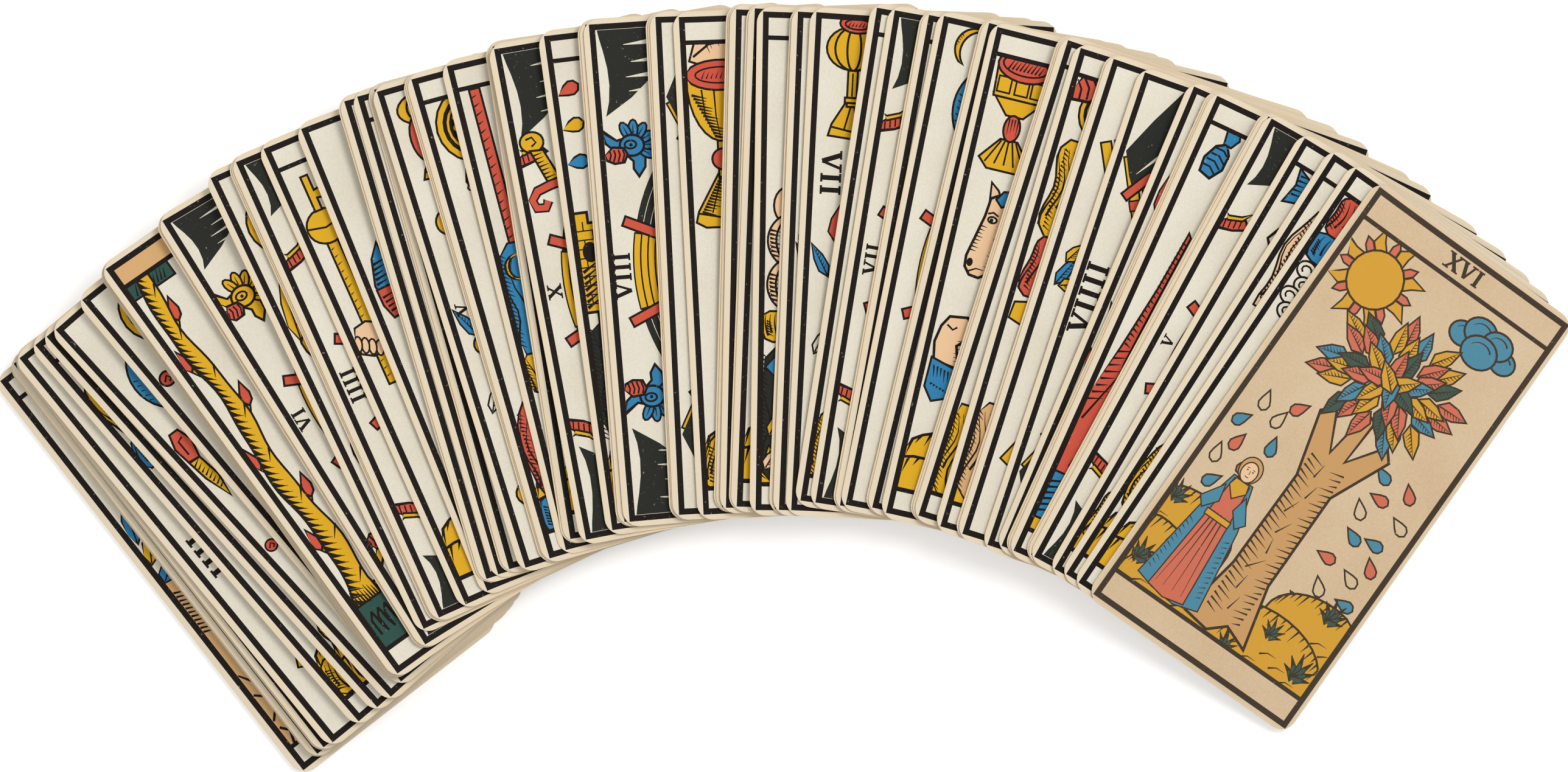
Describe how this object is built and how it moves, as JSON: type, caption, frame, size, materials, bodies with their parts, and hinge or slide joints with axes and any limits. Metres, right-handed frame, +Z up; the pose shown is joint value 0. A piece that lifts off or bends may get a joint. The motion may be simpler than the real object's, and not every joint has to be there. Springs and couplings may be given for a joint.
{
  "type": "tarot card deck",
  "caption": "Tarot deck spread face up in a wide overlapping fan; each thin card with rounded corners lies tilted on the ones before it and can be drawn out lengthwise.",
  "frame": {"origin": "on the table, under the middle of the fan's outline", "axes": "+X to the right along the fan, +Y towards the cards' outer ends, +Z up from the table"},
  "size_m": [0.3798, 0.186, 0.0157],
  "materials": {
    "card": "matte",
    "tan_card": "matte"
  },
  "bodies": {
    "coins_queen": {"coins_queen": "card"},
    "trump_00_and_01": {"trump_00_and_01": "card"},
    "cups_03_and_04": {"cups_03_and_04": "card"},
    "batons_04": {"batons_04": "card"},
    "swords_page": {"swords_page": "card"},
    "batons_queen": {"batons_queen": "card"},
    "coins_02": {"coins_02": "card"},
    "coins_03": {"coins_03": "card"},
    "swords_01_and_02": {"swords_01_and_02": "card"},
    "batons_page": {"batons_page": "card"},
    "cups_02_and_09": {"cups_02_and_09": "card"},
    "swords_06": {"swords_06": "card"},
    "coins_08": {"coins_08": "card"},
    "trump_02_and_05": {"trump_02_and_05": "card"},
    "swords_04": {"swords_04": "card"},
    "trump_04": {"trump_04": "card"},
    "swords_03": {"swords_03": "card"},
    "batons_01_and_02": {"batons_01_and_02": "card"},
    "coins_king": {"coins_king": "card"},
    "cups_01_and_10": {"cups_01_and_10": "card"},
    "cups_05": {"cups_05": "card"},
    "cups_page_and_king": {"cups_page_and_king": "card"},
    "coins_page": {"coins_page": "card"},
    "trump_09": {"trump_09": "card"},
    "trump_06_and_08": {"trump_06_and_08": "card"},
    "swords_10": {"swords_10": "card"},
    "trump_18": {"trump_18": "card"},
    "batons_07_and_10": {"batons_07_and_10": "card"},
    "swords_08": {"swords_08": "card"},
    "coins_04_and_05": {"coins_04_and_05": "card"},
    "batons_08": {"batons_08": "card"},
    "cups_queen": {"cups_queen": "card"},
    "coins_07_and_09": {"coins_07_and_09": "card"},
    "coins_06": {"coins_06": "card"},
    "trump_11_and_13": {"trump_11_and_13": "card"},
    "trump_15": {"trump_15": "card"},
    "trump_10": {"trump_10": "card"},
    "cups_06": {"cups_06": "card"},
    "cups_07": {"cups_07": "card"},
    "swords_knight": {"swords_knight": "card"},
    "swords_07": {"swords_07": "card"},
    "trump_14_and_17": {"trump_14_and_17": "card"},
    "swords_09": {"swords_09": "card"},
    "coins_01_and_10": {"coins_01_and_10": "card"},
    "cups_knight": {"cups_knight": "card"},
    "batons_03_and_king": {"batons_03_and_king": "card"},
    "coins_knight": {"coins_knight": "card"},
    "trump_03": {"trump_03": "card"},
    "batons_05": {"batons_05": "card"},
    "batons_06": {"batons_06": "card"},
    "batons_09": {"batons_09": "card"},
    "cups_08": {"cups_08": "card"},
    "swords_queen_and_king": {"swords_queen_and_king": "card"},
    "batons_knight": {"batons_knight": "card"},
    "trump_19_and_20": {"trump_19_and_20": "card"},
    "swords_05": {"swords_05": "card"},
    "trump_07": {"trump_07": "card"},
    "trump_21": {"trump_21": "card"},
    "trump_12": {"trump_12": "card"},
    "trump_16": {"trump_16": "tan_card"}
  },
  "joints": [
    {"name": "trump_00_and_01_draw", "type": "slide", "parent": "coins_queen", "child": "trump_00_and_01", "axis": [-0.614, 0.7893, 0], "range_m": [0, 0.125]},
    {"name": "cups_03_and_04_draw", "type": "slide", "parent": "coins_queen", "child": "cups_03_and_04", "axis": [-0.6156, 0.7881, 0], "range_m": [0, 0.125]},
    {"name": "batons_04_draw", "type": "slide", "parent": "coins_queen", "child": "batons_04", "axis": [-0.6317, 0.7752, 0], "range_m": [0, 0.125]},
    {"name": "swords_page_draw", "type": "slide", "parent": "coins_queen", "child": "swords_page", "axis": [-0.6516, 0.7586, 0], "range_m": [0, 0.125]},
    {"name": "batons_queen_draw", "type": "slide", "parent": "coins_queen", "child": "batons_queen", "axis": [-0.6657, 0.7462, 0], "range_m": [0, 0.125]},
    {"name": "coins_02_draw", "type": "slide", "parent": "coins_queen", "child": "coins_02", "axis": [-0.6742, 0.7386, 0], "range_m": [0, 0.125]},
    {"name": "coins_03_draw", "type": "slide", "parent": "coins_queen", "child": "coins_03", "axis": [-0.6409, 0.7676, 0], "range_m": [0, 0.125]},
    {"name": "swords_01_and_02_draw", "type": "slide", "parent": "coins_queen", "child": "swords_01_and_02", "axis": [-0.5816, 0.8135, 0], "range_m": [0, 0.125]},
    {"name": "batons_page_draw", "type": "slide", "parent": "coins_queen", "child": "batons_page", "axis": [-0.585, 0.811, 0], "range_m": [0, 0.125]},
    {"name": "cups_02_and_09_draw", "type": "slide", "parent": "coins_queen", "child": "cups_02_and_09", "axis": [-0.528, 0.8493, 0], "range_m": [0, 0.125]},
    {"name": "swords_06_draw", "type": "slide", "parent": "coins_queen", "child": "swords_06", "axis": [-0.5272, 0.8497, 0], "range_m": [0, 0.125]},
    {"name": "coins_08_draw", "type": "slide", "parent": "coins_queen", "child": "coins_08", "axis": [-0.4273, 0.9041, 0], "range_m": [0, 0.125]},
    {"name": "trump_02_and_05_draw", "type": "slide", "parent": "coins_queen", "child": "trump_02_and_05", "axis": [-0.4088, 0.9126, 0], "range_m": [0, 0.125]},
    {"name": "swords_04_draw", "type": "slide", "parent": "coins_queen", "child": "swords_04", "axis": [-0.4073, 0.9133, 0], "range_m": [0, 0.125]},
    {"name": "trump_04_draw", "type": "slide", "parent": "coins_queen", "child": "trump_04", "axis": [-0.4053, 0.9142, 0], "range_m": [0, 0.125]},
    {"name": "swords_03_draw", "type": "slide", "parent": "coins_queen", "child": "swords_03", "axis": [-0.3739, 0.9275, 0], "range_m": [0, 0.125]},
    {"name": "batons_01_and_02_draw", "type": "slide", "parent": "coins_queen", "child": "batons_01_and_02", "axis": [-0.2854, 0.9584, 0], "range_m": [0, 0.125]},
    {"name": "coins_king_draw", "type": "slide", "parent": "coins_queen", "child": "coins_king", "axis": [-0.2831, 0.9591, 0], "range_m": [0, 0.125]},
    {"name": "cups_01_and_10_draw", "type": "slide", "parent": "coins_queen", "child": "cups_01_and_10", "axis": [-0.2711, 0.9625, 0], "range_m": [0, 0.125]},
    {"name": "cups_05_draw", "type": "slide", "parent": "coins_queen", "child": "cups_05", "axis": [-0.2979, 0.9546, 0], "range_m": [0, 0.125]},
    {"name": "cups_page_and_king_draw", "type": "slide", "parent": "coins_queen", "child": "cups_page_and_king", "axis": [-0.2791, 0.9603, 0], "range_m": [0, 0.125]},
    {"name": "coins_page_draw", "type": "slide", "parent": "coins_queen", "child": "coins_page", "axis": [-0.2774, 0.9608, 0], "range_m": [0, 0.125]},
    {"name": "trump_09_draw", "type": "slide", "parent": "coins_queen", "child": "trump_09", "axis": [-0.239, 0.971, 0], "range_m": [0, 0.125]},
    {"name": "trump_06_and_08_draw", "type": "slide", "parent": "coins_queen", "child": "trump_06_and_08", "axis": [-0.1561, 0.9877, 0], "range_m": [0, 0.125]},
    {"name": "swords_10_draw", "type": "slide", "parent": "coins_queen", "child": "swords_10", "axis": [-0.1843, 0.9829, 0], "range_m": [0, 0.125]},
    {"name": "trump_18_draw", "type": "slide", "parent": "coins_queen", "child": "trump_18", "axis": [-0.1372, 0.9905, 0], "range_m": [0, 0.125]},
    {"name": "batons_07_and_10_draw", "type": "slide", "parent": "coins_queen", "child": "batons_07_and_10", "axis": [-0.0789, 0.9969, 0], "range_m": [0, 0.125]},
    {"name": "swords_08_draw", "type": "slide", "parent": "coins_queen", "child": "swords_08", "axis": [-0.0819, 0.9966, 0], "range_m": [0, 0.125]},
    {"name": "coins_04_and_05_draw", "type": "slide", "parent": "coins_queen", "child": "coins_04_and_05", "axis": [-0.0492, 0.9988, 0], "range_m": [0, 0.125]},
    {"name": "batons_08_draw", "type": "slide", "parent": "coins_queen", "child": "batons_08", "axis": [-0.0475, 0.9989, 0], "range_m": [0, 0.125]},
    {"name": "cups_queen_draw", "type": "slide", "parent": "coins_queen", "child": "cups_queen", "axis": [-0.0498, 0.9988, 0], "range_m": [0, 0.125]},
    {"name": "coins_07_and_09_draw", "type": "slide", "parent": "coins_queen", "child": "coins_07_and_09", "axis": [0.0254, 0.9997, 0], "range_m": [0, 0.125]},
    {"name": "coins_06_draw", "type": "slide", "parent": "coins_queen", "child": "coins_06", "axis": [0.0206, 0.9998, 0], "range_m": [0, 0.125]},
    {"name": "trump_11_and_13_draw", "type": "slide", "parent": "coins_queen", "child": "trump_11_and_13", "axis": [0.0363, 0.9993, 0], "range_m": [0, 0.125]},
    {"name": "trump_15_draw", "type": "slide", "parent": "coins_queen", "child": "trump_15", "axis": [0.0151, 0.9999, 0], "range_m": [0, 0.125]},
    {"name": "trump_10_draw", "type": "slide", "parent": "coins_queen", "child": "trump_10", "axis": [0.043, 0.9991, 0], "range_m": [0, 0.125]},
    {"name": "cups_06_draw", "type": "slide", "parent": "coins_queen", "child": "cups_06", "axis": [0.0381, 0.9993, 0], "range_m": [0, 0.125]},
    {"name": "cups_07_draw", "type": "slide", "parent": "coins_queen", "child": "cups_07", "axis": [0.0504, 0.9987, 0], "range_m": [0, 0.125]},
    {"name": "swords_knight_draw", "type": "slide", "parent": "coins_queen", "child": "swords_knight", "axis": [0.1534, 0.9882, 0], "range_m": [0, 0.125]},
    {"name": "swords_07_draw", "type": "slide", "parent": "coins_queen", "child": "swords_07", "axis": [0.1591, 0.9873, 0], "range_m": [0, 0.125]},
    {"name": "trump_14_and_17_draw", "type": "slide", "parent": "coins_queen", "child": "trump_14_and_17", "axis": [0.1786, 0.9839, 0], "range_m": [0, 0.125]},
    {"name": "swords_09_draw", "type": "slide", "parent": "coins_queen", "child": "swords_09", "axis": [0.1971, 0.9804, 0], "range_m": [0, 0.125]},
    {"name": "coins_01_and_10_draw", "type": "slide", "parent": "coins_queen", "child": "coins_01_and_10", "axis": [0.2346, 0.9721, 0], "range_m": [0, 0.125]},
    {"name": "cups_knight_draw", "type": "slide", "parent": "coins_queen", "child": "cups_knight", "axis": [0.2237, 0.9747, 0], "range_m": [0, 0.125]},
    {"name": "batons_03_and_king_draw", "type": "slide", "parent": "coins_queen", "child": "batons_03_and_king", "axis": [0.3017, 0.9534, 0], "range_m": [0, 0.125]},
    {"name": "coins_knight_draw", "type": "slide", "parent": "coins_queen", "child": "coins_knight", "axis": [0.3002, 0.9539, 0], "range_m": [0, 0.125]},
    {"name": "trump_03_draw", "type": "slide", "parent": "coins_queen", "child": "trump_03", "axis": [0.2817, 0.9595, 0], "range_m": [0, 0.125]},
    {"name": "batons_05_draw", "type": "slide", "parent": "coins_queen", "child": "batons_05", "axis": [0.3052, 0.9523, 0], "range_m": [0, 0.125]},
    {"name": "batons_06_draw", "type": "slide", "parent": "coins_queen", "child": "batons_06", "axis": [0.3037, 0.9528, 0], "range_m": [0, 0.125]},
    {"name": "batons_09_draw", "type": "slide", "parent": "coins_queen", "child": "batons_09", "axis": [0.316, 0.9488, 0], "range_m": [0, 0.125]},
    {"name": "cups_08_draw", "type": "slide", "parent": "coins_queen", "child": "cups_08", "axis": [0.3865, 0.9223, 0], "range_m": [0, 0.125]},
    {"name": "swords_queen_and_king_draw", "type": "slide", "parent": "coins_queen", "child": "swords_queen_and_king", "axis": [0.4102, 0.912, 0], "range_m": [0, 0.125]},
    {"name": "batons_knight_draw", "type": "slide", "parent": "coins_queen", "child": "batons_knight", "axis": [0.4088, 0.9126, 0], "range_m": [0, 0.125]},
    {"name": "trump_19_and_20_draw", "type": "slide", "parent": "coins_queen", "child": "trump_19_and_20", "axis": [0.4762, 0.8794, 0], "range_m": [0, 0.125]},
    {"name": "swords_05_draw", "type": "slide", "parent": "coins_queen", "child": "swords_05", "axis": [0.4763, 0.8793, 0], "range_m": [0, 0.125]},
    {"name": "trump_07_draw", "type": "slide", "parent": "coins_queen", "child": "trump_07", "axis": [0.5024, 0.8647, 0], "range_m": [0, 0.125]},
    {"name": "trump_21_draw", "type": "slide", "parent": "coins_queen", "child": "trump_21", "axis": [0.5375, 0.8433, 0], "range_m": [0, 0.125]},
    {"name": "trump_12_draw", "type": "slide", "parent": "coins_queen", "child": "trump_12", "axis": [0.5565, 0.8309, 0], "range_m": [0, 0.125]},
    {"name": "trump_16_draw", "type": "slide", "parent": "coins_queen", "child": "trump_16", "axis": [0.5753, 0.8179, 0], "range_m": [0, 0.125]}
  ]
}
